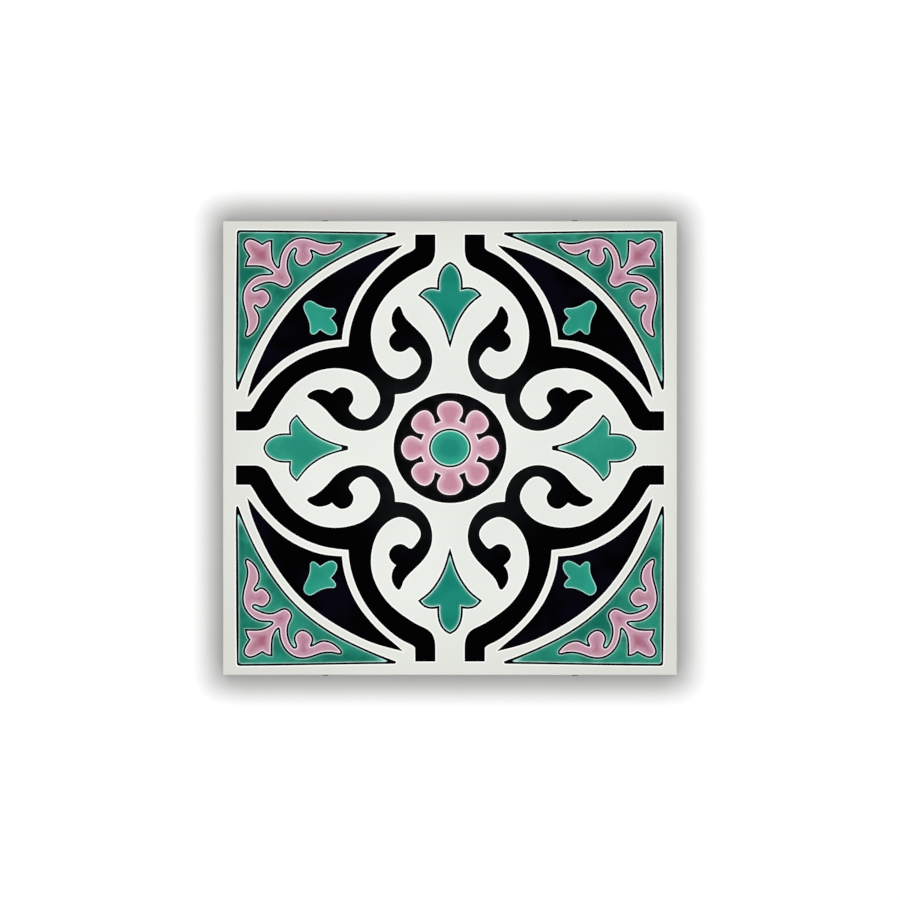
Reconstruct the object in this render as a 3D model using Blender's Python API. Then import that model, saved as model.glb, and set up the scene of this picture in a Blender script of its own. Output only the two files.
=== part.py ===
"""Pressed ceramic floor tile, 200 x 200 x 10 mm, lying face up.

The tile is fired as one piece: a flat slab with softened top arrises, a chamfered foot, keying grooves
pressed into its back and four small spacer lugs, two on the +Y edge and two on the -Y edge.
Units are metres, +Z is up, and the origin is the centre of the back.
"""

import math

import bmesh
import bpy
from mathutils import Vector

MM = 0.001

# Slab
SIDE = 200 * MM
THICKNESS = 10 * MM
CORNER_RADIUS = 0.6 * MM
CORNER_STEPS = 4
ARRIS_RADIUS = 0.5 * MM
ARRIS_STEPS = 4
FOOT_CHAMFER = 0.5 * MM

# Keying grooves in the back, running along Y and closed at both ends
GROOVE_COUNT = 12
GROOVE_PITCH = 15 * MM
GROOVE_MOUTH = 8 * MM
GROOVE_LENGTH = 176 * MM
GROOVE_DEPTH = 0.8 * MM
GROOVE_DRAFT = math.radians(35)
GROOVE_END_STEPS = 6

# Spacer lugs on the two edges across Y
LUG_WIDTH = 2.6 * MM
LUG_PROUD = 0.5 * MM
LUG_OFFSET = 55 * MM
LUG_FOOT = 1.4 * MM
LUG_TOP = 7.6 * MM
LUG_SLOPE = 0.9 * MM
LUG_ROOT = 1.0 * MM

GLAZED_CLAY = (0.80, 0.82, 0.78, 1.0)
GLAZED_ROUGHNESS = 0.18


def clear_scene():
    for old in list(bpy.data.objects):
        bpy.data.objects.remove(old, do_unlink=True)


def add_object(name, mesh_maker):
    """A new mesh object filled by mesh_maker, which gets an empty bmesh."""
    mesh = bpy.data.meshes.new(name)
    shape = bmesh.new()
    mesh_maker(shape)
    bmesh.ops.recalc_face_normals(shape, faces=shape.faces)
    shape.to_mesh(mesh)
    shape.free()
    made = bpy.data.objects.new(name, mesh)
    bpy.context.scene.collection.objects.link(made)
    return made


def make_helper(helper):
    """A cutter or a joined shape that isn't a piece of its own."""
    helper.hide_render = True
    helper.display_type = "WIRE"
    return helper


def glazed_clay():
    material = bpy.data.materials.new("glazed_clay")
    material.use_nodes = True
    shader = material.node_tree.nodes["Principled BSDF"]
    shader.inputs["Base Color"].default_value = GLAZED_CLAY
    shader.inputs["Roughness"].default_value = GLAZED_ROUGHNESS
    shader.inputs["Metallic"].default_value = 0.0
    return material


def level_edges(shape, height):
    """The edges that lie wholly at a height."""
    return [e for e in shape.edges if all(abs(v.co.z - height) < 0.01 * MM for v in e.verts)]


def slab(shape):
    """The pressed slab with round corners, softened top arrises and a chamfered foot."""
    bmesh.ops.create_cube(shape, size=1.0)
    bmesh.ops.scale(shape, vec=Vector((SIDE, SIDE, THICKNESS)), verts=shape.verts)
    bmesh.ops.translate(shape, vec=Vector((0, 0, THICKNESS / 2)), verts=shape.verts)
    upright = [e for e in shape.edges if abs(e.verts[0].co.z - e.verts[1].co.z) > THICKNESS / 2]
    bmesh.ops.bevel(
        shape, geom=upright, offset=CORNER_RADIUS, segments=CORNER_STEPS, profile=0.5, affect="EDGES"
    )
    top = level_edges(shape, THICKNESS)
    bmesh.ops.bevel(shape, geom=top, offset=ARRIS_RADIUS, segments=ARRIS_STEPS, profile=0.5, affect="EDGES")
    foot = level_edges(shape, 0)
    bmesh.ops.bevel(shape, geom=foot, offset=FOOT_CHAMFER, segments=1, profile=0.5, affect="EDGES")


def stadium(radius, length, z):
    """The outline of a slot along Y, with a half circle of points at each end."""
    reach = length / 2 - GROOVE_MOUTH / 2
    turns = [math.pi * step / GROOVE_END_STEPS for step in range(GROOVE_END_STEPS + 1)]
    far = [Vector((radius * math.cos(t), reach + radius * math.sin(t), z)) for t in turns]
    near = [Vector((-radius * math.cos(t), -reach - radius * math.sin(t), z)) for t in turns]
    return far + near


def add_groove(shape, centre_x):
    """One slot-shaped cutter that narrows upwards, from below the back to the groove's floor."""
    lean = math.tan(GROOVE_DRAFT)
    below = GROOVE_DEPTH
    mouth = GROOVE_MOUTH / 2
    levels = [(-below, mouth + below * lean), (GROOVE_DEPTH, mouth - GROOVE_DEPTH * lean)]
    rings = []
    for z, radius in levels:
        points = [p + Vector((centre_x, 0, 0)) for p in stadium(radius, GROOVE_LENGTH, z)]
        rings.append([shape.verts.new(p) for p in points])
    low, high = rings
    for i in range(len(low)):
        j = (i + 1) % len(low)
        shape.faces.new((low[i], low[j], high[j], high[i]))
    shape.faces.new(high)
    shape.faces.new(list(reversed(low)))


def grooves(shape):
    for i in range(GROOVE_COUNT):
        add_groove(shape, (i - (GROOVE_COUNT - 1) / 2) * GROOVE_PITCH)


def add_lug(shape, centre_x, side):
    """One spacer lug: a small pad on an edge, with a sloped head and foot."""
    edge = SIDE / 2
    section = [
        (edge - LUG_ROOT, LUG_FOOT),
        (edge, LUG_FOOT),
        (edge + LUG_PROUD, LUG_FOOT + LUG_PROUD),
        (edge + LUG_PROUD, LUG_TOP - LUG_SLOPE),
        (edge, LUG_TOP),
        (edge - LUG_ROOT, LUG_TOP),
    ]
    verts = [shape.verts.new((centre_x - LUG_WIDTH / 2, side * y, z)) for y, z in section]
    cheek = shape.faces.new(verts)
    grown = bmesh.ops.extrude_face_region(shape, geom=[cheek])
    moved = [g for g in grown["geom"] if isinstance(g, bmesh.types.BMVert)]
    bmesh.ops.translate(shape, vec=Vector((LUG_WIDTH, 0, 0)), verts=moved)


def lugs(shape):
    for side in (1, -1):
        for centre_x in (-LUG_OFFSET, LUG_OFFSET):
            add_lug(shape, centre_x, side)


def add_boolean(target, helper, operation):
    step = target.modifiers.new(helper.name, "BOOLEAN")
    step.object = helper
    step.operation = operation
    step.solver = "EXACT"


def build():
    clear_scene()
    tile = add_object("ceramic_tile", slab)
    tile.data.materials.append(glazed_clay())
    add_boolean(tile, make_helper(add_object("groove_cutter", grooves)), "DIFFERENCE")
    add_boolean(tile, make_helper(add_object("lug_shape", lugs)), "UNION")
    return tile


build()
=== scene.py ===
"""The finish of a glazed ceramic tile: its fired glazes in relief, bare clay below, and the photo's view.

The glazes are modelled as they lie on the real tile. White covers the ground and rolls over the edges, fine
black lines keep the green and pink fields apart, and black fills the scrolls, the crescents and the centre.
The ornament is the same in all four quarters, so one quarter is drawn and mirrored. Lengths are in
millimetres, and the ornament's points are measured from the tile's centre.
"""

import math

import bpy
import numpy as np
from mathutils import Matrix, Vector
from mathutils.geometry import delaunay_2d_cdt
from mathutils.kdtree import KDTree


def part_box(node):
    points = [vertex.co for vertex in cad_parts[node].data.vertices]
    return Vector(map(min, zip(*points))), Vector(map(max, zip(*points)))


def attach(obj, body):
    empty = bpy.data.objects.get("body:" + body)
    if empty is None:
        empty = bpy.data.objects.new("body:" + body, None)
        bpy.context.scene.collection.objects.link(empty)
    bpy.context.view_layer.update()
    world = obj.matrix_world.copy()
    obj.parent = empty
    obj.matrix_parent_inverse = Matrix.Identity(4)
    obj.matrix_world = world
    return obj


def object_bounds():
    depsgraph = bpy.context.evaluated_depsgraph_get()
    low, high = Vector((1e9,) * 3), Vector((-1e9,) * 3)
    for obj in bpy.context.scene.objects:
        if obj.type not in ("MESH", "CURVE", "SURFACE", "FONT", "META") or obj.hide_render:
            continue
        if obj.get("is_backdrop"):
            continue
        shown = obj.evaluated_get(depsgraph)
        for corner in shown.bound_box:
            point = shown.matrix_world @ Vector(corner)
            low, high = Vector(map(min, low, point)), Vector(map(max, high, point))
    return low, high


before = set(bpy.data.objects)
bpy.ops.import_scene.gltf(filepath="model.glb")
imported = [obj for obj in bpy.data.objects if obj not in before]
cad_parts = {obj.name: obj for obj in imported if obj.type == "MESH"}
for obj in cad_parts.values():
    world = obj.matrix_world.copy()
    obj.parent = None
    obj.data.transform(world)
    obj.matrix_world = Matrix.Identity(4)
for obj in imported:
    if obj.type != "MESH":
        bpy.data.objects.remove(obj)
cad_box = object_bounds()

MM = 0.001
TILE = "ceramic_tile"

# The tile, from the frame. Its lugs stand proud across Y, so X gives its side.
HALF_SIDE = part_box(TILE)[1][0] / MM
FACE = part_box(TILE)[1][2] / MM

# The glazed face is level up to this far from the sides, and then turns down over the arris.
ARRIS_INSET = 0.55
LEVEL_HALF = HALF_SIDE - ARRIS_INSET

# How thick the glazes stand on the clay, and how deep they are fused into it
LINE_THICK = 0.05
WHITE_THICK = 0.12
BLACK_THICK = 0.15
GREEN_THICK = 0.17
PINK_THICK = 0.21
FUSED = 0.06

# A glaze rises from its edge to its full thickness over this width.
SHOULDER = 1.15

# The black line round a coloured field, which is bolder round the tall palmette
LINE_WIDTH = 0.86
BOLD_LINE_WIDTH = 0.97

# The foot of the wide palmette is black up to here.
WIDE_PALMETTE_FOOT = 47.6

# The centre: a black oval with a rosette on it, and a green disc inside a black ring
CENTRE_RADII = (24.9, 24.3)
RING_RADII = (8.85, 8.15)

# Beside a line the glaze lies thin and bright, but less so in the corner fields and round the arabesques.
FULL_RIM = 1.0
CORNER_RIM = 0.62
ARABESQUE_RIM = 0.5
NO_RIM = 0.0

# Over this share of a rim's width it has its full strength.
RIM_CORE = 0.2

# Notches and tips where the green lies thin, and how far that reaches
THIN_SPOTS = [
    (29.0, 93.5), (93.0, 31.0), (61.4, 86.9), (68.0, 87.5), (75.6, 80.0), (78.9, 77.2), (85.9, 62.4),
    (86.4, 69.7), (0.0, 47.0), (48.0, 0.0),
]
THIN_REACH = (0.6, 4.0)

# Over these stretches from the tile's middle the white turns greyer and the black turns deeper.
GREYER_OUT = (60, 132)
DEEPER_OUT = (26, 58)

# How closely outlines are divided, and how many points of each step distances are measured from
CURVE_STEP = 0.55
STRAIGHT_STEP = 1.6
BORDER_SAMPLES = 7

# Limits for moving an outline sideways
MITRE_LIMIT = 0.05
KEPT_SHARE = 0.985

# Beside each outline the mesh has rings of points at these distances. A ring's points lie further apart the
# further out it is, and keep nearly its distance from the other outlines too.
RINGS = (0.28, 0.62, 1.15)
RING_SPACING = 0.5
RING_SHARE = 0.85

# Further away the mesh has rows of points. All its points keep clear of the level face's outer sides.
OPEN_STEP = 2.4
OPEN_CLEAR = 1.7
SIDE_CLEAR = 0.4

TINY = 1e-6
WELD = 0.001
SHARP_ANGLE = math.radians(35)

# The glaze over the tile's edges. Its lip is drawn in distances out from the side and up from the face.
SIDE_THICK = 0.06
CORNER_RADIUS = 0.6
ARRIS_STEPS = 7
EDGE_LIP = [
    (0.11, -1.5), (0.13, -2.1), (0.17, -2.55), (0.2, -2.75), (0.16, -2.95), (0.04, -3.05), (-0.06, -2.95),
]

# The lip wanders up and down by this much, in waves of this size, and fully so from the lower height down.
WANDER = 0.4
WANDER_SIZE = 9
WANDER_FROM = FACE - 1.2
WANDER_BELOW = FACE - 2.6

# On the edges across Y the glaze stands out less, by this share.
THINNER_ACROSS_Y = 0.65

# The clay is painted dark as shade from here outwards and upwards, which only the heads of the lugs reach.
LUG_SHADE_OUT = (HALF_SIDE + 0.05, HALF_SIDE + 0.15)
LUG_SHADE_UP = (FACE - 4.6, FACE - 3.4)

# The light that a level white surface sends back, as a share of the picture's white
LIGHT = 1.13

# The glazes' surface: how rough it is, how much duller in patches, and its ripples, with finer ones on them
GLAZE_ROUGHNESS = 0.1
DULLER = 0.08
DULL_PATCH = 18
RIPPLE = 2.6
FINE_RIPPLE = 0.5
FINE_RIPPLE_SHARE = 0.2
RIPPLE_DEPTH = 0.008

# The clay's surface, and which of its grains are darker and which are paler
CLAY_ROUGHNESS = 0.82
GRAIN_ROUGHNESS = 0.12
GRAIN = 0.5
GRAIN_DEPTH = 0.05
DARK_GRAINS = (0.58, 0.72)
PALE_GRAINS = (0.42, 0.28)

# The floor: its size, how far it lies below the tile, and its colour, with the tile's soft shadow painted on
# it in grey beside the tile
FLOOR_SIZE = 4000
FLOOR_GAP = 0.02
PAPER_ROUGHNESS = 0.9
PAPER = (0.9, 0.9, 0.9, 1.0)
PAINTED_SHADOW_PAPER = (0.46, 0.46, 0.46, 1.0)
SHADE_WIDTH = 18.5
SHADE_FALL = 1.4

# The light: a band that rises and falls between these heights, stronger across Y, and very little overhead
LOW_LIGHT = (math.radians(18), math.radians(36))
HIGH_LIGHT = (math.radians(48), math.radians(62))
BAND_LIGHT = 2.6
ACROSS_Y = 0.4
OVERHEAD = 0.015

# The camera: its height above the face, the width that it takes in there, and its place along Y
SENSOR_WIDTH = 36
CAMERA_HEIGHT = 2400
PICTURE_WIDTH = 396.8
CAMERA_Y = -0.88


# Curves


def lengths(points):
    """The distance from each point to the next."""
    return np.linalg.norm(np.diff(points, axis=0), axis=1)


def smooth(*through):
    """A run of outline: a smooth curve on through each of these points."""

    def run(start):
        points = np.array([start, *through], float)
        knots = np.concatenate([[0], np.cumsum(np.sqrt(lengths(points)))])
        gaps = np.diff(knots)
        count = len(points)
        system = np.identity(count)
        pull = np.zeros((count, 2))
        for i in range(1, count - 1):
            system[i, i - 1 : i + 2] = gaps[i - 1], 2 * (gaps[i - 1] + gaps[i]), gaps[i]
            slope_in = (points[i] - points[i - 1]) / gaps[i - 1]
            slope_out = (points[i + 1] - points[i]) / gaps[i]
            pull[i] = 6 * (slope_out - slope_in)
        bend = np.linalg.solve(system, pull)
        pieces = []
        for i, length in enumerate(lengths(points)):
            steps = max(2, round(length / CURVE_STEP))
            b = (np.arange(1, steps + 1) / steps)[:, None]
            a = 1 - b
            bulge = (a**3 - a) * bend[i] + (b**3 - b) * bend[i + 1]
            pieces.append(a * points[i] + b * points[i + 1] + gaps[i] ** 2 / 6 * bulge)
        return np.concatenate(pieces)

    return run


def straight(*corners):
    """A run of outline: straight lines on to each of these corners."""

    def run(start):
        pieces = []
        last = np.array(start, float)
        for corner in np.array(corners, float):
            steps = max(1, round(np.linalg.norm(corner - last) / STRAIGHT_STEP))
            share = (np.arange(1, steps + 1) / steps)[:, None]
            pieces.append(last + share * (corner - last))
            last = corner
        return np.concatenate(pieces)

    return run


def arc(via, end):
    """A run of outline: the circle's arc on to an end point, by way of another one."""

    def run(start):
        a, b, c = (np.array(p, float) for p in (start, via, end))
        centre = np.linalg.solve([b - a, c - a], [(b @ b - a @ a) / 2, (c @ c - a @ a) / 2])
        first, middle, last = (math.atan2(*(p - centre)[::-1]) for p in (a, b, c))
        radius = np.linalg.norm(a - centre)
        sweep = (last - first) % math.tau
        if (middle - first) % math.tau > sweep:
            sweep -= math.tau
        steps = max(3, round(abs(sweep) * radius / STRAIGHT_STEP))
        turns = first + sweep * np.arange(1, steps + 1) / steps
        return centre + radius * np.stack([np.cos(turns), np.sin(turns)], axis=1)

    return run


def path(start, *runs):
    """A line of points: a start, and each run on from where the last one ended."""
    pieces = [np.array([start], float)]
    for run in runs:
        pieces.append(run(pieces[-1][-1]))
    return np.concatenate(pieces)


def loop(start, *runs):
    """A closed outline, whose last run ends where it started."""
    return path(start, *runs)[:-1]


# The ornament's outlines, one quarter


def scroll():
    """The black stem that branches towards two tile edges, with a leafed curl on either side of it."""
    return loop(
        (6.45, 94.15),
        straight((15.35, 94.15), (15.4, 88.05)),
        smooth(
            (16.75, 86.95), (20.2, 85.25), (25.1, 82.0), (30.15, 77.5), (35.2, 71.75), (39.3, 65.25),
            (42.5, 57.7), (44.35, 50.2), (44.8, 45.0),
        ),
        smooth(
            (50.0, 44.45), (55.05, 43.6), (60.1, 42.1), (65.15, 39.9), (70.2, 36.95), (75.15, 33.15),
            (80.1, 28.1), (84.15, 22.6), (86.8, 18.1), (88.15, 16.25),
        ),
        straight((94.4, 16.25), (94.4, 7.65), (85.2, 7.65)),
        smooth(
            (82.15, 8.9), (79.95, 11.5), (77.9, 15.35), (74.4, 20.8), (70.2, 26.3), (64.7, 30.8),
            (59.8, 33.4), (54.95, 34.75), (49.5, 35.1), (43.5, 34.2), (37.85, 32.0), (33.65, 28.2),
            (31.15, 23.45), (31.1, 19.8), (32.45, 16.95), (35.15, 13.8), (38.2, 12.65), (41.2, 13.5),
            (43.9, 16.0), (44.55, 17.6), (43.75, 19.05), (42.7, 20.95), (42.65, 23.0), (43.7, 25.15),
            (45.85, 26.55), (48.5, 26.75), (51.0, 25.2), (52.1, 24.1),
        ),
        smooth(
            (54.0, 25.2), (57.7, 25.9), (60.8, 25.0), (63.0, 23.0), (62.15, 21.8), (60.1, 21.05),
            (57.2, 19.05), (53.65, 15.6), (50.3, 11.85), (45.65, 8.95), (39.0, 7.5), (33.3, 8.7),
            (28.3, 12.1), (25.5, 16.5), (24.4, 20.4), (24.2, 23.65),
        ),
        smooth(
            (20.3, 24.0), (15.5, 25.55), (11.15, 29.3), (8.55, 34.2), (7.8, 39.5), (8.9, 44.65),
            (12.0, 49.6), (16.7, 54.3), (20.5, 58.85), (21.55, 61.65), (22.6, 62.55), (23.9, 61.6),
            (25.4, 59.0), (25.75, 56.35), (25.1, 53.7), (23.8, 51.75),
        ),
        smooth(
            (25.9, 49.8), (26.9, 47.4), (26.4, 45.1), (24.6, 43.1), (22.0, 42.3), (19.6, 43.05),
            (17.35, 44.35), (15.15, 42.5), (13.35, 39.85), (12.95, 37.5), (14.3, 34.5), (17.7, 31.7),
            (21.5, 30.5), (25.9, 31.65), (30.4, 35.55), (33.35, 41.1), (34.75, 48.0), (34.3, 55.0),
            (32.05, 61.1), (28.6, 66.55), (24.5, 70.8), (19.35, 74.7), (14.4, 77.75), (10.15, 79.85),
            (7.85, 82.0), (6.65, 85.25), (6.45, 89.0), (6.45, 94.15),
        ),
    )


def crescent():
    """The black crescent between a scroll and a corner field."""
    return loop(
        (20.6, 89.65),
        smooth(
            (32.0, 86.65), (40.05, 83.4), (50.1, 78.0), (58.2, 72.55), (64.85, 66.95), (70.1, 61.3),
            (78.0, 50.25), (83.25, 40.1), (87.45, 29.9), (89.45, 21.9),
        ),
        smooth(
            (87.4, 24.25), (85.1, 27.3), (78.25, 34.8), (70.0, 41.25), (60.0, 45.8), (53.5, 47.25),
            (47.6, 47.7),
        ),
        smooth(
            (46.9, 53.3), (44.9, 60.3), (41.55, 67.6), (36.55, 74.7), (30.1, 81.5), (25.0, 85.75),
            (20.6, 89.65),
        ),
    )


def leaf():
    """The green leaf with three lobes inside a crescent."""
    return loop(
        (51.3, 61.7),
        smooth(
            (54.0, 61.75), (58.4, 63.3), (61.75, 64.95), (64.1, 63.6), (64.45, 61.2), (62.7, 57.3),
            (61.7, 53.2), (61.55, 50.85), (60.2, 50.05), (57.3, 52.2),
        ),
        smooth((54.65, 50.5), (51.75, 49.8), (49.9, 51.4), (50.4, 54.5), (52.6, 57.3)),
        smooth((51.0, 58.85), (50.3, 60.65), (51.3, 61.7)),
    )


def corner_rim():
    """The outer edge of the black line round a corner field."""
    return loop(
        (23.75, 94.4),
        smooth((24.05, 95.0), (24.9, 95.15)),
        smooth((50.0, 95.5), (70.0, 95.85), (92.6, 96.1)),
        smooth((93.65, 95.75), (94.0, 94.9)),
        smooth((94.3, 72.0), (94.4, 45.0), (94.5, 32.0), (94.35, 26.2)),
        smooth((93.8, 25.5), (93.2, 26.1)),
        smooth(
            (90.55, 33.0), (87.4, 40.2), (83.25, 48.1), (73.95, 62.05), (62.15, 74.1), (48.15, 83.4),
            (33.0, 90.5), (24.35, 93.85),
        ),
        smooth((23.85, 94.1), (23.75, 94.4)),
    )


def corner_field():
    """The green field in a corner, inside its line."""
    return loop(
        (27.6, 93.85),
        smooth((28.0, 94.15), (30.0, 94.3), (50.0, 94.65), (70.0, 94.95), (91.8, 95.15)),
        smooth((92.85, 94.85), (93.25, 94.0)),
        smooth((93.15, 75.0), (93.35, 50.0), (93.55, 33.0), (93.5, 29.8), (93.25, 29.3)),
        smooth(
            (91.4, 33.4), (88.1, 40.65), (84.05, 48.65), (74.6, 62.7), (62.75, 74.8), (48.65, 84.2),
            (33.3, 91.4), (27.6, 93.85),
        ),
    )


def arabesque():
    """The middle of the black line round the pink arabesque in a corner field."""
    return loop(
        (78.65, 91.4),
        smooth((80.4, 91.15), (82.7, 89.8)),
        smooth((85.6, 91.45), (88.6, 92.15), (90.7, 90.35), (90.1, 87.4), (88.3, 84.55)),
        smooth((89.45, 82.6), (90.05, 80.15)),
        smooth(
            (84.5, 80.2), (80.9, 79.2), (78.1, 77.1), (79.5, 76.5), (84.1, 76.1), (88.65, 73.15),
            (91.1, 68.45), (90.95, 63.0), (89.55, 57.6), (89.4, 53.0), (90.1, 50.35), (89.65, 49.1),
            (87.5, 50.2), (85.1, 53.15), (84.2, 57.0), (85.0, 60.0), (86.3, 62.2), (85.85, 63.0),
            (83.6, 61.8), (80.5, 63.5), (79.35, 66.4), (81.0, 69.2), (83.4, 69.95), (86.2, 69.1),
            (87.0, 69.9), (84.45, 71.75), (80.0, 73.05), (76.5, 72.35), (72.6, 70.95), (69.9, 73.6),
            (71.2, 77.5), (71.6, 82.5), (70.05, 86.7), (68.4, 88.15), (67.7, 87.4), (68.5, 84.5),
            (67.5, 81.6), (65.0, 80.4), (61.9, 81.9), (60.65, 85.0), (61.4, 87.2), (58.7, 86.1),
            (55.5, 85.1), (51.9, 86.1), (49.5, 87.85), (47.9, 90.0), (48.4, 90.75), (51.0, 90.3),
            (56.6, 90.45), (61.0, 91.9), (65.5, 92.6), (69.6, 91.4), (73.35, 87.55), (75.1, 82.0),
            (75.6, 79.45), (77.5, 81.5), (78.6, 86.0), (78.65, 91.4),
        ),
    )


def mirrored(half, scale):
    """The whole of a closed outline, from the half that starts and ends on the line it is mirrored in."""
    return np.concatenate([half, half[-2:0:-1] * scale])


def tall_palmette():
    """The middle of the line round the palmette on the Y axis."""
    half = path(
        (0.0, 81.65),
        smooth((2.3, 80.2), (4.35, 77.0), (5.15, 73.0), (5.15, 70.1)),
        smooth((7.5, 70.5), (10.9, 69.8), (13.5, 67.35)),
        smooth((9.0, 63.75), (4.95, 58.4), (2.2, 52.7), (0.7, 47.9), (0.0, 45.5)),
    )
    return mirrored(half, (-1, 1))


def wide_palmette():
    """The outer edge of the line round the palmette on the X axis."""
    half = path(
        (44.9, 0.0),
        straight((44.95, 0.85)),
        smooth((46.5, 1.2), (50.0, 2.05), (54.0, 3.45), (58.45, 5.75), (62.95, 9.35), (67.45, 14.95)),
        smooth((70.3, 12.05), (71.05, 9.5), (70.9, 6.5)),
        smooth((75.0, 6.35), (78.65, 5.1), (81.3, 2.75), (82.4, 0.0)),
    )
    return mirrored(half, (1, -1))


def wide_palmette_field():
    """The green of that palmette. The black fills its narrow foot."""
    field = grown(wide_palmette(), -LINE_WIDTH)
    return np.concatenate([[(WIDE_PALMETTE_FOOT, 0.0)], field[field[:, 0] > WIDE_PALMETTE_FOOT]])


def rosette():
    """The pink rosette: a petal on each axis and one between them, with straight feet to the gaps."""
    drawn = path(
        (21.5, 0.0),
        smooth(
            (21.5, 0.5), (21.3, 1.5), (20.75, 2.8), (19.45, 4.5), (18.15, 5.15), (17.1, 5.35),
            (15.35, 4.9), (14.05, 4.25), (12.7, 3.3),
        ),
        straight((11.45, 6.2)),
        smooth(
            (13.35, 6.4), (14.7, 6.85), (15.9, 8.0), (16.9, 9.6), (17.0, 11.0), (16.55, 12.45),
            (15.85, 13.7), (14.9, 14.8), (13.75, 15.75), (12.45, 16.35), (11.05, 16.6), (9.65, 16.25),
            (8.5, 15.4), (7.65, 14.25), (7.1, 12.9), (6.75, 10.6),
        ),
        straight((3.9, 11.9)),
        smooth(
            (4.4, 12.9), (5.15, 14.2), (5.6, 15.55), (5.6, 17.0), (5.15, 18.35), (4.15, 19.45),
            (2.95, 20.2), (1.55, 20.6), (0.5, 20.7), (0.0, 20.7),
        ),
    )
    upper = np.concatenate([drawn, drawn[-2::-1] * (-1, 1)])
    return mirrored(upper, (1, -1))


def oval(radii, grow=0.0):
    """An oval about the tile's centre."""
    steps = 4 * round(math.pi / 2 * radii[0] / CURVE_STEP)
    turns = math.tau * np.arange(steps) / steps
    return np.stack([(radii[0] + grow) * np.cos(turns), (radii[1] + grow) * np.sin(turns)], axis=1)


# Areas of glaze


def unit(vectors):
    """These vectors, each made 1 long."""
    return vectors / np.linalg.norm(vectors, axis=1, keepdims=True)


def shifted(outline, distance):
    """Each point of a closed outline moved outwards by this much, with mitred corners."""
    ahead = unit(np.roll(outline, -1, axis=0) - outline)
    outwards = np.stack([ahead[:, 1], -ahead[:, 0]], axis=1) * turning(outline)
    before = np.roll(outwards, 1, axis=0)
    spread = np.maximum(1 + (before * outwards).sum(axis=1), MITRE_LIMIT)
    return outline + (before + outwards) * (distance / spread)[:, None]


def turning(outline):
    """1 for an outline that runs anticlockwise, and -1 for a clockwise one."""
    x, y = outline.T
    return np.sign(x @ np.roll(y, -1) - y @ np.roll(x, -1))


def clearance(points, outline):
    """How far each point lies from a closed outline."""
    runs = np.roll(outline, -1, axis=0) - outline
    away = points[:, None] - outline
    share = np.clip((away * runs).sum(axis=2) / (runs**2).sum(axis=1), 0, 1)
    return np.linalg.norm(away - share[:, :, None] * runs, axis=2).min(axis=1)


def grown(outline, distance):
    """A closed outline made larger all round, or smaller by a negative distance."""
    moved = shifted(outline, distance)
    return moved[clearance(moved, outline) > abs(distance) * KEPT_SHARE]


def ornament():
    """Every area: its piece, its outline and how bright its rim is. Each lies on those before it."""
    half_line = LINE_WIDTH / 2
    half_bold = BOLD_LINE_WIDTH / 2
    return [
        ("outlines", corner_rim(), CORNER_RIM),
        ("corner_fields", corner_field(), CORNER_RIM),
        ("outlines", grown(arabesque(), half_line), ARABESQUE_RIM),
        ("arabesques", grown(arabesque(), -half_line), FULL_RIM),
        ("scrolls", scroll(), FULL_RIM),
        ("crescents", crescent(), FULL_RIM),
        ("leaves", leaf(), FULL_RIM),
        ("outlines", grown(tall_palmette(), half_bold), FULL_RIM),
        ("tall_palmettes", grown(tall_palmette(), -half_bold), FULL_RIM),
        ("outlines", wide_palmette(), FULL_RIM),
        ("wide_palmettes", wide_palmette_field(), FULL_RIM),
        ("centre_ground", oval(CENTRE_RADII), NO_RIM),
        ("rosette", rosette(), FULL_RIM),
        ("outlines", oval(RING_RADII, half_line), FULL_RIM),
        ("centre_disc", oval(RING_RADII, -half_line), FULL_RIM),
    ]


def quarter(outline):
    """The part of an outline where X and Y are positive, anticlockwise and closed along the axes."""
    outline = outline[:: int(turning(outline))]
    inside = (outline > -TINY).all(axis=1)
    if inside.all():
        return outline
    first = np.flatnonzero(inside & ~np.roll(inside, 1))[0]
    kept = np.roll(outline, -first, axis=0)[np.roll(inside, -first)]
    kept[abs(kept) < TINY] = 0
    meets_both = (kept == 0).any(axis=0).all()
    return np.concatenate([kept, [[0.0, 0.0]]]) if meets_both else kept


class Borders:
    """All the outlines, to ask how far a point lies from the nearest one and how bright the rim there is."""

    def __init__(self, areas):
        samples = []
        for _, outline, bright in areas:
            runs = np.roll(outline, -1, axis=0) - outline
            for share in np.arange(BORDER_SAMPLES) / BORDER_SAMPLES:
                for point in outline + share * runs:
                    samples.append((point, bright))
        self.bright = [bright for _, bright in samples]
        self.tree = KDTree(len(samples))
        for i, (point, _) in enumerate(samples):
            self.tree.insert((*point, 0.0), i)
        self.tree.balance()

    def nearest(self, points):
        """Each point's distance from its nearest border, and how bright that border's rim is."""
        found = [self.tree.find((*point, 0.0)) for point in points]
        distance = np.array([distance for *_, distance in found])
        return distance, np.array([self.bright[i] for _, i, _ in found])


def thinned(points, spacing):
    """These points, without those that come too close to one before them."""
    kept = {}
    for point in points:
        column, row = (int(c // spacing) for c in point)
        cells = [(column + i, row + j) for i in (-1, 0, 1) for j in (-1, 0, 1)]
        near = [other for cell in cells for other in kept.get(cell, ())]
        if all(math.dist(point, other) > spacing for other in near):
            kept.setdefault((column, row), []).append(point)
    return [point for cell in kept.values() for point in cell]


def in_quarter(points):
    """Those of the points that lie on the drawn quarter's level face, clear of its outer sides."""
    points = points[(points > -TINY).all(axis=1) & (points < LEVEL_HALF - SIDE_CLEAR).all(axis=1)]
    points[abs(points) < TINY] = 0
    return points


def open_grid():
    """Points in rows, for the wide areas."""
    row_step = OPEN_STEP * math.sqrt(3) / 2
    rows = np.arange(LEVEL_HALF // row_step)
    columns = np.arange(LEVEL_HALF // OPEN_STEP)
    x, row = np.meshgrid(columns * OPEN_STEP, rows)
    return np.stack([(x + row % 2 * OPEN_STEP / 2).ravel(), (row * row_step).ravel()], axis=1)


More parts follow.
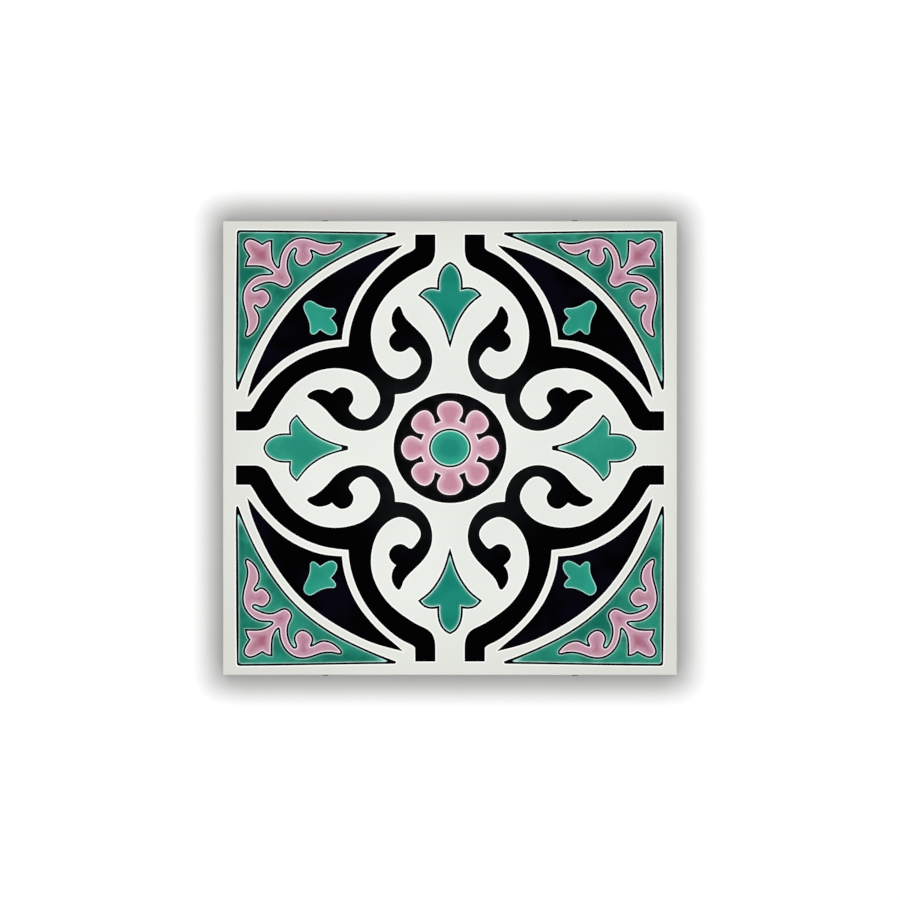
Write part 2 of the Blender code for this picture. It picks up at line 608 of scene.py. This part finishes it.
def graded_points(areas, borders):
    """Points that lie close together beside the borders, and further apart away from them."""
    points = []
    for ring in RINGS:
        moved = [shifted(outline, side * ring) for _, outline, _ in areas for side in (1, -1)]
        candidates = in_quarter(np.concatenate(moved))
        distance, _ = borders.nearest(candidates)
        points += thinned(candidates[distance > RING_SHARE * ring], RING_SPACING * ring)
    grid = in_quarter(open_grid())
    distance, _ = borders.nearest(grid)
    return points + list(grid[distance > OPEN_CLEAR])


def level_square():
    """The outline of the quarter's level face."""
    far = LEVEL_HALF
    return loop((0.0, 0.0), straight((far, 0.0), (far, far), (0.0, far), (0.0, 0.0)))


def divided(areas, borders):
    """The quarter's points and triangles, and each triangle's place in the list of areas, or -1."""
    outlines = [level_square(), *(quarter(outline) for _, outline, _ in areas)]
    corners = []
    faces = []
    for outline in outlines:
        faces.append([len(corners) + i for i in range(len(outline))])
        corners += [Vector(point) for point in outline]
    corners += [Vector(point) for point in graded_points(areas, borders)]
    made, _, triangles, _, _, inside = delaunay_2d_cdt(corners, [], faces, 1, TINY, True)
    return np.array(made), np.array(triangles), np.array([max(within) - 1 for within in inside])


class Net:
    """One quarter's triangles, with what every piece needs to know at each corner."""

    def __init__(self, areas):
        borders = Borders(areas)
        self.points, self.triangles, area = divided(areas, borders)
        self.distance, self.bright = borders.nearest(self.points)
        reach = np.linalg.norm(self.points[:, None] - THIN_SPOTS, axis=2).min(axis=1)
        self.thin = np.interp(reach, THIN_REACH, (1, 0))
        names = np.array([name for name, _, _ in areas] + ["white_ground"])
        self.owner = names[area]

    def piece(self, name, thick):
        """One glaze: a thin closed layer, open only along the axes, where its mirror images join it."""
        triangles = self.triangles[self.owner == name]
        used, corners = np.unique(triangles, return_inverse=True)
        corners = corners.reshape(-1, 3)
        points, distance = self.points[used], self.distance[used]
        share = np.clip(distance / SHOULDER, 0, 1)
        rise = share * share * (3 - 2 * share)
        top = FACE + LINE_THICK + (thick - LINE_THICK) * rise
        upper = np.column_stack([points, top])
        lower = np.column_stack([points, np.full(len(points), FACE - FUSED)])
        count = len(used)
        edges = {(int(t[i]), int(t[(i + 1) % 3])) for t in corners for i in range(3)}
        outer = [(a, b) for a, b in edges if (b, a) not in edges and (points[a] + points[b]).all()]
        walls = [(b, a, a + count, b + count) for a, b in sorted(outer)]
        faces = [*corners.tolist(), *(corners[:, ::-1] + count).tolist(), *walls]
        mesh = bpy.data.meshes.new(name)
        mesh.from_pydata(np.concatenate([upper, lower]) * MM, [], faces)
        add_values(mesh, "edge", np.tile(distance, 2))
        add_values(mesh, "rim", np.tile(self.bright[used], 2))
        add_values(mesh, "thin", np.tile(self.thin[used], 2))
        return mesh


def add_values(mesh, name, values):
    """Keeps a value for each point of a mesh, for its finish to read."""
    mesh.attributes.new(name, "FLOAT", "POINT").data.foreach_set("value", values.astype(np.float32))


# Node trees


class Term:
    """A node's output, which Python's operators join with others or with numbers."""

    def __init__(self, tree, socket):
        self.tree = tree
        self.socket = socket

    def __add__(self, other):
        return self.tree.maths("ADD", self, other)

    def __radd__(self, other):
        return self.tree.maths("ADD", other, self)

    def __sub__(self, other):
        return self.tree.maths("SUBTRACT", self, other)

    def __rsub__(self, other):
        return self.tree.maths("SUBTRACT", other, self)

    def __mul__(self, other):
        return self.tree.maths("MULTIPLY", self, other)

    def __rmul__(self, other):
        return self.tree.maths("MULTIPLY", other, self)

    def __truediv__(self, other):
        return self.tree.maths("DIVIDE", self, other)

    def __rtruediv__(self, other):
        return self.tree.maths("DIVIDE", other, self)

    def __pow__(self, other):
        return self.tree.maths("POWER", self, other)

    def __abs__(self):
        return self.tree.maths("ABSOLUTE", self, 0.0)


class Tree:
    """A node tree, to which nodes are added."""

    def __init__(self, nodes):
        self.nodes = nodes

    def node(self, kind, settings=(), inputs=(), output=0):
        """A node of any kind: its settings first, then its inputs by name or place, as values or terms."""
        made = self.nodes.nodes.new(kind)
        for name, value in dict(settings).items():
            setattr(made, name, value)
        for key, value in dict(inputs).items():
            self.give(made.inputs[key], value)
        return Term(self, made.outputs[output])

    def give(self, socket, value):
        """Feeds an input with a term, a list of terms or a plain value."""
        if isinstance(value, Term):
            self.nodes.links.new(value.socket, socket)
        elif isinstance(value, list):
            for term in value:
                self.nodes.links.new(term.socket, socket)
        else:
            socket.default_value = value

    def maths(self, operation, a, b):
        return self.node("ShaderNodeMath", {"operation": operation}, {0: a, 1: b})

    def vectors(self, operation, a, b):
        return self.node("ShaderNodeVectorMath", {"operation": operation}, {0: a, 1: b})

    def mix(self, share, a, b):
        """Colour a where the share is 0, and b where it is 1. Its colour sockets go by their places."""
        return self.node("ShaderNodeMix", {"data_type": "RGBA"}, {0: share, 6: a, 7: b}, 2)

    def ramp(self, value, start, end):
        """0 up to start, 1 from end, and a soft step in between."""
        return self.node(
            "ShaderNodeMapRange",
            {"interpolation_type": "SMOOTHSTEP"},
            {"Value": value, "From Min": start, "From Max": end},
        )

    def parts(self, vector):
        """A vector's X, Y and Z."""
        return [self.node("ShaderNodeSeparateXYZ", (), {0: vector}, axis) for axis in "XYZ"]

    def noise(self, place, size, detail=2.0):
        """Soft random values about 0.5, whose blotches are about this large."""
        return self.node("ShaderNodeTexNoise", (), {"Vector": place, "Scale": 1 / size, "Detail": detail})

    def clouds(self, place, size, start, end):
        """Clouds about this large, from 0 outside to 1 inside. The nearer the two limits, the sharper."""
        return self.ramp(self.noise(place, size), start, end)


# Geometry


def geometry_tree(name, inputs):
    """An empty geometry tree with a mesh input and these others, and the tree's inputs as terms by name."""
    group = bpy.data.node_groups.new(name, "GeometryNodeTree")
    group.interface.new_socket("Mesh", in_out="INPUT", socket_type="NodeSocketGeometry")
    for label, kind in inputs.items():
        group.interface.new_socket(label, in_out="INPUT", socket_type=kind)
    group.interface.new_socket("Mesh", in_out="OUTPUT", socket_type="NodeSocketGeometry")
    tree = Tree(group)
    entry = group.nodes.new("NodeGroupInput")
    return tree, {socket.name: Term(tree, socket) for socket in entry.outputs if socket.name}


def end_tree(tree, mesh, material):
    """The last nodes of a geometry tree."""
    real = tree.node("GeometryNodeRealizeInstances", (), {0: mesh})
    painted = tree.node("GeometryNodeSetMaterial", (), {"Geometry": real, "Material": material})
    leave = tree.nodes.nodes.new("NodeGroupOutput")
    tree.nodes.links.new(painted.socket, leave.inputs[0])
    return tree.nodes


def four_quarters():
    """The tree that mirrors a quarter in both axes and joins the four."""
    inputs = {"Weld distance": "NodeSocketFloat", "Finish": "NodeSocketMaterial"}
    tree, given = geometry_tree("four quarters", inputs)
    mesh = given["Mesh"]
    for scale in ((-1, 1, 1), (1, -1, 1)):
        image = tree.node("GeometryNodeTransform", (), {"Geometry": mesh, "Scale": scale})
        turned = tree.node("GeometryNodeFlipFaces", (), {"Mesh": image})
        mesh = tree.node("GeometryNodeJoinGeometry", (), {0: [mesh, turned]})
    joined = {"Geometry": mesh, "Distance": given["Weld distance"]}
    welded = tree.node("GeometryNodeMergeByDistance", (), joined)
    return end_tree(tree, welded, given["Finish"])


def edge_glaze():
    """The tree that sweeps the glaze's section round the tile, thinner across Y, and lets its lip wander."""
    tree, given = geometry_tree(
        "edge glaze",
        {
            "Section": "NodeSocketObject",
            "Wander from": "NodeSocketFloat",
            "Wander below": "NodeSocketFloat",
            "Wander": "NodeSocketFloat",
            "Wander size": "NodeSocketFloat",
            "Half side": "NodeSocketFloat",
            "Thinner across Y": "NodeSocketFloat",
            "Finish": "NodeSocketMaterial",
        },
    )
    way = tree.node("GeometryNodeMeshToCurve", (), {0: given["Mesh"]})
    upright = tree.node("GeometryNodeSetCurveNormal", {"mode": "Z_UP"}, {0: way})
    drawn = tree.node("GeometryNodeObjectInfo", (), {"Object": given["Section"]}, "Geometry")
    section = tree.node("GeometryNodeMeshToCurve", (), {0: drawn})
    swept = tree.node("GeometryNodeCurveToMesh", (), {"Curve": upright, "Profile Curve": section})
    place = tree.node("GeometryNodeInputPosition")
    _, y, height = tree.parts(place)
    low = tree.ramp(height * -1, given["Wander from"] * -1, given["Wander below"] * -1)
    waves = tree.node("ShaderNodeTexNoise", (), {"Vector": place, "Scale": 1 / given["Wander size"]})
    lift = (waves - 0.5) * 2 * given["Wander"] * low
    past_side = tree.maths("MAXIMUM", abs(y) - given["Half side"], 0.0)
    inwards = past_side * given["Thinner across Y"] * tree.maths("SIGN", y, 0.0) * -1
    offset = tree.node("ShaderNodeCombineXYZ", (), {"Y": inwards, "Z": lift})
    moved = tree.node("GeometryNodeSetPosition", (), {"Geometry": swept, "Offset": offset})
    return end_tree(tree, moved, given["Finish"])


def made_by(group, name, mesh, values):
    """The plain object that a geometry tree makes of a mesh, with these values for its inputs."""
    mesh.materials.append(values["Finish"])
    made = bpy.data.objects.new(name, mesh)
    bpy.context.scene.collection.objects.link(made)
    step = made.modifiers.new(group.name, "NODES")
    step.node_group = group
    for socket in group.interface.items_tree:
        if socket.in_out == "INPUT" and socket.name in values:
            step[socket.identifier] = values[socket.name]
    bpy.context.view_layer.update()
    plain = bpy.data.meshes.new_from_object(made.evaluated_get(bpy.context.evaluated_depsgraph_get()))
    made.modifiers.clear()
    made.data = plain
    plain.name = name
    plain.shade_smooth()
    plain.set_sharp_from_angle(angle=SHARP_ANGLE)
    return made


# The glaze over the edges


def arris_turn(radii, start, end):
    """A quarter oval's points over the arris, as distances out from the tile's side and up from its face."""
    turns = np.linspace(start, end, ARRIS_STEPS)
    out = -ARRIS_INSET + radii[0] * np.cos(turns)
    up = -ARRIS_INSET + radii[1] * np.sin(turns)
    return list(zip(out, up))


def edge_section():
    """The glaze's cut end: over the arris, down the side to a thick lip, and back up inside the clay."""
    inset = ARRIS_INSET
    outside = arris_turn((inset + SIDE_THICK, inset + WHITE_THICK), math.pi / 2, 0)
    inside = arris_turn((inset - FUSED, inset - FUSED), 0, math.pi / 2)
    return [*outside, *EDGE_LIP, *inside]


def ring_mesh(name, points):
    """A closed line of points as a mesh."""
    mesh = bpy.data.meshes.new(name)
    count = len(points)
    mesh.from_pydata(np.array(points) * MM, [(i, (i + 1) % count) for i in range(count)], [])
    return mesh


def edge_way():
    """The line round the tile's sides at the height of its face."""
    near = HALF_SIDE - CORNER_RADIUS
    far = HALF_SIDE
    bend = near + CORNER_RADIUS / math.sqrt(2)
    outline = loop(
        (far, -near),
        straight((far, near)),
        arc((bend, bend), (near, far)),
        straight((-near, far)),
        arc((-bend, bend), (-far, near)),
        straight((-far, -near)),
        arc((-bend, -bend), (-near, -far)),
        straight((near, -far)),
        arc((bend, -bend), (far, -near)),
    )
    return ring_mesh("edge way", np.column_stack([outline, np.full(len(outline), FACE)]))


def glaze_edge(finish):
    """The white glaze that runs over the arrises and down to a lip on the sides."""
    cut = ring_mesh("section", [(out, -up, 0.0) for out, up in edge_section()])
    section = bpy.data.objects.new("section", cut)
    bpy.context.scene.collection.objects.link(section)
    values = {
        "Section": section,
        "Wander from": WANDER_FROM * MM,
        "Wander below": WANDER_BELOW * MM,
        "Wander": WANDER * MM,
        "Wander size": WANDER_SIZE * MM,
        "Half side": HALF_SIDE * MM,
        "Thinner across Y": THINNER_ACROSS_Y,
        "Finish": finish,
    }
    made = made_by(edge_glaze(), "glaze_edge", edge_way(), values)
    bpy.data.objects.remove(section)
    return made


# Finishes


def tone(red, green, blue):
    """A colour as it looks in this light, from 0 to 255, as the colour that its material needs."""
    looks = [c / 255 for c in (red, green, blue)]
    linear = [c / 12.92 if c <= 0.04045 else ((c + 0.055) / 1.055) ** 2.4 for c in looks]
    return (*(c / LIGHT for c in linear), 1.0)


def new_finish(name):
    """A material with its tree, its shader and the place on the tile in millimetres."""
    material = bpy.data.materials.new(name)
    material.use_nodes = True
    tree = Tree(material.node_tree)
    shader = material.node_tree.nodes["Principled BSDF"]
    spot = tree.node("ShaderNodeTexCoord", output="Object")
    return material, tree, shader, tree.vectors("MULTIPLY", spot, (1 / MM, 1 / MM, 1 / MM))


def bumpy(tree, shader, height, depth):
    """Gives a shader a height pattern that is this many millimetres deep."""
    bump = tree.node("ShaderNodeBump", (), {"Height": height, "Distance": depth * MM})
    tree.give(shader.inputs["Normal"], bump)


def glaze(name, colour):
    """A glossy fired glaze with a faintly rippled surface, in the colour that a function makes."""
    material, tree, shader, place = new_finish(name)
    tree.give(shader.inputs["Base Color"], colour(tree, place))
    tree.give(shader.inputs["Roughness"], GLAZE_ROUGHNESS + tree.noise(place, DULL_PATCH) * DULLER)
    ripples = tree.noise(place, RIPPLE) + tree.noise(place, FINE_RIPPLE) * FINE_RIPPLE_SHARE
    bumpy(tree, shader, ripples, RIPPLE_DEPTH)
    return material


def value(tree, name):
    """The value that a piece keeps for each of its points under this name."""
    return tree.node("ShaderNodeAttribute", {"attribute_name": name}, (), "Fac")


def beside_line(tree, width):
    """1 at the border of an area, and 0 further away than this."""
    return 1 - tree.ramp(value(tree, "edge"), width * RIM_CORE, width)


def from_middle(tree, place):
    """How far a place is from the tile's middle."""
    x, y, _ = tree.parts(place)
    return (x * x + y * y) ** 0.5


def towards_corners(tree, place, ground):
    """White, a little greyer towards the tile's corners."""
    return tree.mix(tree.ramp(from_middle(tree, place), *GREYER_OUT), ground, tone(217, 218, 211))


def white_colour(tree, place):
    """White with faint clouds, and brighter beside the black."""
    clouds = tree.clouds(place, size=40, start=0.35, end=0.65)
    ground = towards_corners(tree, place, tree.mix(clouds, tone(233, 236, 230), tone(229, 232, 226)))
    return tree.mix(beside_line(tree, width=0.85), ground, tone(254, 255, 252))


def edge_colour(tree, place):
    """The white of the edges."""
    return towards_corners(tree, place, tone(231, 234, 228))


def black_colour(tree, place):
    """Black that lies thinner, and so greyer, towards the tile's middle."""
    out = tree.ramp(from_middle(tree, place), *DEEPER_OUT)
    clouds = tree.clouds(place, size=9, start=0.4, end=0.7)
    inner = tree.mix(clouds, tone(11, 15, 16), tone(19, 23, 24))
    return tree.mix(out, inner, tone(0, 0, 1))


def centre_colour(tree, place):
    """Black with a warmer grey where it runs over the petals' edges."""
    clouds = tree.clouds(place, size=6, start=0.4, end=0.7)
    ground = tree.mix(clouds, tone(3, 5, 6), tone(14, 14, 16))
    return tree.mix(beside_line(tree, width=1.5) * value(tree, "rim"), ground, tone(28, 20, 22))


def navy_colour(tree, place):
    """Black with a breath of blue."""
    clouds = tree.clouds(place, size=22, start=0.42, end=0.62)
    return tree.mix(clouds, tone(0, 0, 1), tone(5, 4, 14))


def green_colour(deep, light, rim, wash):
    """Green glaze that pools unevenly. In a fine rim and in notches it lies thin, and so paler.

    Wash is how much of the rim's colour spreads further in.
    """

    def colour(tree, place):
        pooled = tree.ramp(tree.noise(place, size=14, detail=3.0), 0.35, 0.65)
        thin = value(tree, "thin")
        spread = beside_line(tree, width=1.6) * (thin * 0.5 + wash)
        field = tree.mix(spread, tree.mix(pooled, deep, light), rim)
        uneven = value(tree, "rim") * (0.75 + tree.clouds(place, size=6, start=0.38, end=0.62) * 0.45)
        bright = tree.maths("MAXIMUM", uneven, thin)
        return tree.mix(beside_line(tree, width=0.56) * bright, field, rim)

    return colour


def disc_colour(tree, place):
    """Green that is deepest in the disc's middle."""
    wavy = value(tree, "edge") + tree.noise(place, size=3) * 2
    field = tree.mix(tree.ramp(wavy, 1.6, 6.5), tone(50, 161, 136), tone(31, 136, 119))
    return tree.mix(beside_line(tree, width=0.75), field, tone(200, 244, 233))


def pink_colour(deep, light, rim, rim_width, pooling):
    """Pink glaze with a pale rim. It deepens over the pooling stretch in from its edge."""

    def colour(tree, place):
        middle = tree.ramp(value(tree, "edge"), *pooling)
        field = tree.mix(middle * (tree.noise(place, size=8) + 0.5), light, deep)
        return tree.mix(beside_line(tree, rim_width), field, rim)

    return colour


def bare_clay():
    """Fired clay, matt and grained, without glaze. The heads of the spacer lugs are painted dark, a painted
    shade for the shadow they lie in.
    """
    material, tree, shader, place = new_finish("bare_clay")
    _, y, z = tree.parts(place)
    # Painted shade: the lug heads are darkened as if in the tile's shadow.
    painted_lug_shade = tree.ramp(abs(y), *LUG_SHADE_OUT) * tree.ramp(z, *LUG_SHADE_UP)
    grain = tree.noise(place, GRAIN, detail=4.0)
    clouds = tree.clouds(place, size=25, start=0.4, end=0.6)
    body = tree.mix(clouds, tone(178, 170, 154), tone(170, 161, 143))
    body = tree.mix(tree.ramp(grain, *DARK_GRAINS), body, tone(146, 134, 116))
    body = tree.mix(tree.ramp(grain, *PALE_GRAINS), body, tone(196, 190, 176))
    tree.give(shader.inputs["Base Color"], tree.mix(painted_lug_shade, body, tone(38, 39, 34)))
    tree.give(shader.inputs["Roughness"], CLAY_ROUGHNESS + grain * GRAIN_ROUGHNESS)
    bumpy(tree, shader, grain, GRAIN_DEPTH)
    return material


# The pieces


def glaze_pieces():
    """Every glaze on the face and the edges."""
    palmette_rim = tone(200, 248, 240)
    corner_green = green_colour(
        deep=tone(17, 106, 88), light=tone(42, 141, 118), rim=tone(190, 240, 231), wash=0.04
    )
    leaf_green = green_colour(
        deep=tone(36, 140, 119), light=tone(43, 153, 131), rim=tone(172, 232, 221), wash=0.06
    )
    tall_palmette_green = green_colour(
        deep=tone(20, 126, 108), light=tone(29, 136, 118), rim=palmette_rim, wash=0.12
    )
    wide_palmette_green = green_colour(
        deep=tone(36, 140, 118), light=tone(48, 152, 129), rim=palmette_rim, wash=0.1
    )
    arabesque_pink = pink_colour(
        deep=tone(167, 101, 124),
        light=tone(194, 151, 167),
        rim=tone(246, 230, 239),
        rim_width=0.72,
        pooling=(0.7, 3.6),
    )
    rosette_pink = pink_colour(
        deep=tone(196, 138, 158),
        light=tone(216, 176, 190),
        rim=tone(254, 241, 247),
        rim_width=0.85,
        pooling=(0.5, 3.3),
    )
    white = glaze("white_glaze", white_colour)
    black = glaze("black_glaze", black_colour)
    finishes = {
        "white_ground": (white, WHITE_THICK),
        "outlines": (black, BLACK_THICK),
        "scrolls": (black, BLACK_THICK),
        "crescents": (glaze("navy_black_glaze", navy_colour), BLACK_THICK),
        "centre_ground": (glaze("centre_black_glaze", centre_colour), BLACK_THICK),
        "corner_fields": (glaze("corner_green_glaze", corner_green), GREEN_THICK),
        "leaves": (glaze("leaf_green_glaze", leaf_green), GREEN_THICK),
        "tall_palmettes": (glaze("tall_palmette_glaze", tall_palmette_green), GREEN_THICK),
        "wide_palmettes": (glaze("wide_palmette_glaze", wide_palmette_green), GREEN_THICK),
        "centre_disc": (glaze("disc_green_glaze", disc_colour), GREEN_THICK),
        "arabesques": (glaze("arabesque_pink_glaze", arabesque_pink), PINK_THICK),
        "rosette": (glaze("rosette_pink_glaze", rosette_pink), PINK_THICK),
    }
    net = Net(ornament())
    mirror = four_quarters()
    pieces = [
        made_by(mirror, name, net.piece(name, thick), {"Weld distance": WELD * MM, "Finish": finish})
        for name, (finish, thick) in finishes.items()
    ]
    pieces.append(glaze_edge(glaze("edge_glaze", edge_colour)))
    return pieces


# The floor, the light and the camera


def paper():
    """The floor's finish: pale, with the tile's soft shadow painted on it in grey close to the tile."""
    material, tree, shader, place = new_finish("paper")
    x, y, _ = tree.parts(place)
    beyond = [tree.maths("MAXIMUM", abs(axis) - HALF_SIDE, 0.0) for axis in (x, y)]
    away = (beyond[0] ** 2 + beyond[1] ** 2) ** 0.5
    # Painted shadow: the floor's colour greys towards the tile's sides and fades out over SHADE_WIDTH.
    painted_shadow = tree.maths("MAXIMUM", 1 - away / SHADE_WIDTH, 0.0) ** SHADE_FALL
    tree.give(shader.inputs["Base Color"], tree.mix(painted_shadow, PAPER, PAINTED_SHADOW_PAPER))
    tree.give(shader.inputs["Roughness"], PAPER_ROUGHNESS)
    return material


def floor():
    """A level floor under the tile, which isn't part of it."""
    bpy.ops.mesh.primitive_plane_add(size=FLOOR_SIZE * MM, location=(0, 0, -FLOOR_GAP * MM))
    ground = bpy.context.object
    ground.name = "floor"
    ground.data.materials.append(paper())
    ground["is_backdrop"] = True


def studio_light():
    """A band of soft light at half height, all round. It is dark overhead, so that the blacks stay black."""
    world = bpy.data.worlds.new("studio")
    world.use_nodes = True
    tree = Tree(world.node_tree)
    x, y, z = tree.parts(tree.node("ShaderNodeTexCoord", output="Generated"))
    rising, falling = (
        tree.ramp(z, math.sin(start), math.sin(end)) for start, end in (LOW_LIGHT, HIGH_LIGHT)
    )
    band = rising * (1 - falling)
    across = 1 + (y * y - x * x) * ACROSS_Y
    sky = world.node_tree.nodes["Background"]
    tree.give(sky.inputs["Strength"], OVERHEAD + band * across * BAND_LIGHT)
    tree.give(sky.inputs["Color"], (1.0, 1.0, 1.0, 1.0))
    bpy.context.scene.world = world


def camera():
    """A long lens straight above, as in the photo. The tile lies a little above the picture's middle."""
    data = bpy.data.cameras.new("camera")
    data.sensor_width = SENSOR_WIDTH
    data.lens = SENSOR_WIDTH * CAMERA_HEIGHT / PICTURE_WIDTH
    made = bpy.data.objects.new("camera", data)
    made.location = (0, CAMERA_Y * MM, (FACE + CAMERA_HEIGHT) * MM)
    bpy.context.scene.collection.objects.link(made)
    bpy.context.scene.camera = made


def show():
    """Puts the finishes on the tile, in the photo's view."""
    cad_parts[TILE].material_slots[0].material = bare_clay()
    for piece in glaze_pieces():
        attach(piece, "root")
    floor()
    studio_light()
    camera()
    bpy.context.scene.view_settings.view_transform = "Standard"


show()
boxes = {"cad": cad_box, "finished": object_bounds()}
{name: [list(corner) for corner in corners] for name, corners in boxes.items()}
